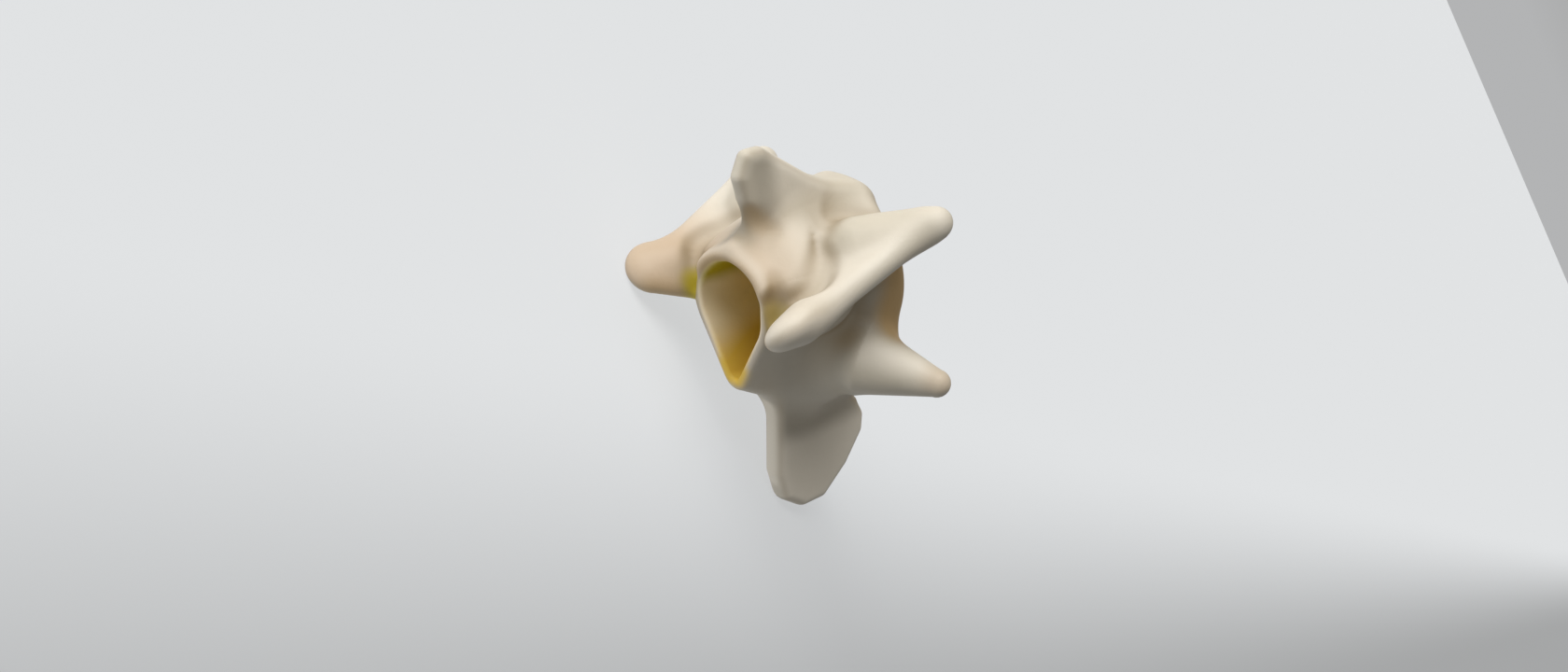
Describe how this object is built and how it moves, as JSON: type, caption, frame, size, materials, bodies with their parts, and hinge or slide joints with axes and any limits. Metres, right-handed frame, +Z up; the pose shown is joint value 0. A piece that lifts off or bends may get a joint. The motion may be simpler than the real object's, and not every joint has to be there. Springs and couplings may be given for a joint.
{
  "type": "pig cervical vertebra",
  "caption": "Neck vertebra of a grown pig lying on its side, with a drop-shaped canal, joint horns, side horns, a crest and a belly plate",
  "frame": {"origin": "middle of the footprint of the lying bone, on the surface that it lies on", "axes": "+Z up as the bone lies on its right side, +Y level towards the tail end, +X level towards the belly side"},
  "size_m": [0.0808, 0.0648, 0.0687],
  "materials": {
    "bone": "satin, smooth dry bone, cream with tan to gold-brown hollows"
  },
  "bodies": {
    "root": {"cervical_vertebra": "bone"}
  },
  "joints": []
}
